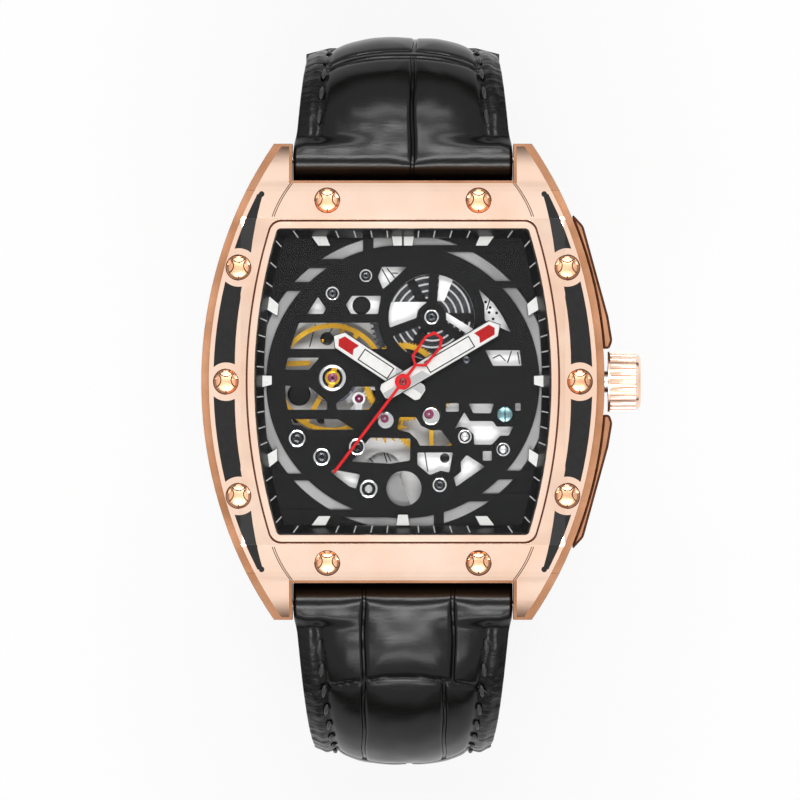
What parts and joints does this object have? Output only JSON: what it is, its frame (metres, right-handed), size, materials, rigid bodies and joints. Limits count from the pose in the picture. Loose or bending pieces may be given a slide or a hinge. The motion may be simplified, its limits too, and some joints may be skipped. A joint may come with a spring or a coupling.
{
  "type": "skeleton watch",
  "caption": "Tonneau-cased skeleton wristwatch with an open-worked dial, visible gear train and balance, fluted crown and a two-piece padded leather strap on a pin buckle.",
  "frame": {"origin": "middle of the case back's flat outer face, on the axis of the hands", "axes": "+Z out of the dial, +Y towards twelve o'clock, +X towards the crown"},
  "size_m": [0.044, 0.0743, 0.0631],
  "materials": {
    "rose_gold": "polished rose gold",
    "dark_insert": "satin dark grey",
    "steel": "fine brushed",
    "sapphire": "clear",
    "gasket_rubber": "matte",
    "gasket_white": "matte",
    "black_plate": "satin black",
    "grey_ring": "brushed",
    "white_paint": "satin white",
    "blued_steel": "polished blue",
    "ruby": "polished synthetic ruby",
    "gilt_brass": "gilt, fine brushed",
    "red_paint": "gloss red",
    "strap_leather": "glossy black, scaled grain",
    "lining_leather": "matte black",
    "thread": "black thread"
  },
  "bodies": {
    "case": {"case_middle": "rose_gold", "bezel": "rose_gold", "bezel_screws": "rose_gold", "side_inserts": "dark_insert", "crown_guards": "rose_gold", "crown_tube": "steel", "case_back": "rose_gold", "case_back_glass": "sapphire", "case_back_gasket": "gasket_rubber", "case_back_screws": "steel", "crystal": "sapphire", "crystal_gasket": "gasket_white", "spring_bar_12": "steel", "spring_bar_6": "steel", "dial_base": "black_plate", "dial_ring": "grey_ring", "dial_plate": "black_plate", "minute_flange": "black_plate", "hour_markers": "white_paint", "minute_ticks": "white_paint", "dial_screws": "steel", "movement_ring": "steel", "main_plate": "steel", "train_bridge": "steel", "bridge_screws": "blued_steel", "balance_cock": "steel", "jewels": "ruby", "jewel_settings": "gilt_brass", "barrel_arbor": "steel", "hairspring": "blued_steel", "rotor_bearing": "steel"},
    "seconds": {"fourth_wheel": "gilt_brass", "second_hand": "red_paint"},
    "minutes": {"centre_wheel": "gilt_brass", "minute_hand": "white_paint"},
    "hours": {"hour_wheel": "gilt_brass", "hour_hand": "white_paint"},
    "third": {"third_wheel": "gilt_brass"},
    "escape": {"escape_wheel": "gilt_brass"},
    "motion_work": {"minute_wheel": "gilt_brass"},
    "spring_barrel": {"barrel": "gilt_brass", "barrel_cover": "black_plate", "mainspring": "steel"},
    "balance": {"balance_wheel": "gilt_brass"},
    "lever": {"pallet_fork": "steel"},
    "winding_rotor": {"rotor": "steel"},
    "crown_slider": {"crown_gasket": "gasket_rubber"},
    "crown_and_stem": {"crown": "rose_gold", "winding_stem": "steel"},
    "strap_12": {"strap_12_leather": "strap_leather", "strap_12_lining": "lining_leather", "strap_12_stitching": "thread", "fixed_keeper": "strap_leather", "buckle_bar": "steel"},
    "loose_keeper": {"sliding_keeper": "strap_leather"},
    "buckle": {"buckle_frame": "rose_gold"},
    "tongue": {"buckle_tongue": "rose_gold"},
    "strap_6": {"strap_6_leather": "strap_leather", "strap_6_lining": "lining_leather", "strap_6_stitching": "thread"}
  },
  "joints": [
    {"name": "seconds_turn", "type": "hinge", "parent": "case", "child": "seconds", "pos_m": [0, 0, 0.0087], "axis": [0, 0, -1], "continuous": true},
    {"name": "minutes_turn", "type": "hinge", "parent": "case", "child": "minutes", "pos_m": [0, 0, 0.0082], "axis": [0, 0, -1], "continuous": true},
    {"name": "hours_turn", "type": "hinge", "parent": "case", "child": "hours", "pos_m": [0, 0, 0.0077], "axis": [0, 0, -1], "continuous": true},
    {"name": "third_wheel_turn", "type": "hinge", "parent": "case", "child": "third", "pos_m": [0.00286, -0.00344, 0.0043], "axis": [0, 0, -1], "continuous": true},
    {"name": "escape_wheel_turn", "type": "hinge", "parent": "case", "child": "escape", "pos_m": [-0.00173, -0.00385, 0.0037], "axis": [0, 0, -1], "continuous": true},
    {"name": "minute_wheel_turn", "type": "hinge", "parent": "case", "child": "motion_work", "pos_m": [0.0029, -0.00078, 0.0059], "axis": [0, 0, -1], "continuous": true},
    {"name": "barrel_turn", "type": "hinge", "parent": "case", "child": "spring_barrel", "pos_m": [0.00287, 0.00647, 0.0045], "axis": [0, 0, -1], "continuous": true},
    {"name": "balance_swing", "type": "hinge", "parent": "case", "child": "balance", "pos_m": [-0.00717, 0.00038, 0.0042], "axis": [0, 0, -1], "range_deg": [-270, 270], "stiffness_Nm_per_rad": 0.0000012},
    {"name": "lever_rock", "type": "hinge", "parent": "case", "child": "lever", "pos_m": [-0.00443, -0.00169, 0.0037], "axis": [0, 0, -1], "range_deg": [-4, 4]},
    {"name": "rotor_turn", "type": "hinge", "parent": "case", "child": "winding_rotor", "pos_m": [0, 0, 0.0017], "axis": [0, 0, -1], "continuous": true},
    {"name": "crown_pull", "type": "slide", "parent": "case", "child": "crown_slider", "axis": [1, 0, 0], "range_m": [0, 0.0012]},
    {"name": "crown_turn", "type": "hinge", "parent": "crown_slider", "child": "crown_and_stem", "pos_m": [0.022, 0, 0.0048], "axis": [1, 0, 0], "continuous": true},
    {"name": "strap_12_swing", "type": "hinge", "parent": "case", "child": "strap_12", "pos_m": [0, 0.0224, 0.003], "axis": [1, 0, 0], "range_deg": [-1, 60]},
    {"name": "loose_keeper_slide", "type": "slide", "parent": "strap_12", "child": "loose_keeper", "axis": [0, 0, -1], "range_m": [-0.0035, 0.0025]},
    {"name": "buckle_swing", "type": "hinge", "parent": "strap_12", "child": "buckle", "pos_m": [0, 0.00649, -0.04978], "axis": [-1, 0, 0], "range_deg": [-20, 100]},
    {"name": "tongue_swing", "type": "hinge", "parent": "buckle", "child": "tongue", "pos_m": [0, 0.00649, -0.04978], "axis": [1, 0, 0], "range_deg": [0, 95]},
    {"name": "strap_6_swing", "type": "hinge", "parent": "case", "child": "strap_6", "pos_m": [0, -0.0224, 0.003], "axis": [-1, 0, 0], "range_deg": [-1, 60]}
  ],
  "couplings": [
    {"joint": "minutes_turn", "follows": "seconds_turn", "ratio": 0.016667},
    {"joint": "hours_turn", "follows": "seconds_turn", "ratio": 0.0013889},
    {"joint": "third_wheel_turn", "follows": "seconds_turn", "ratio": -0.13333},
    {"joint": "escape_wheel_turn", "follows": "seconds_turn", "ratio": -10},
    {"joint": "minute_wheel_turn", "follows": "seconds_turn", "ratio": -0.0055556},
    {"joint": "barrel_turn", "follows": "seconds_turn", "ratio": -0.0027778}
  ]
}
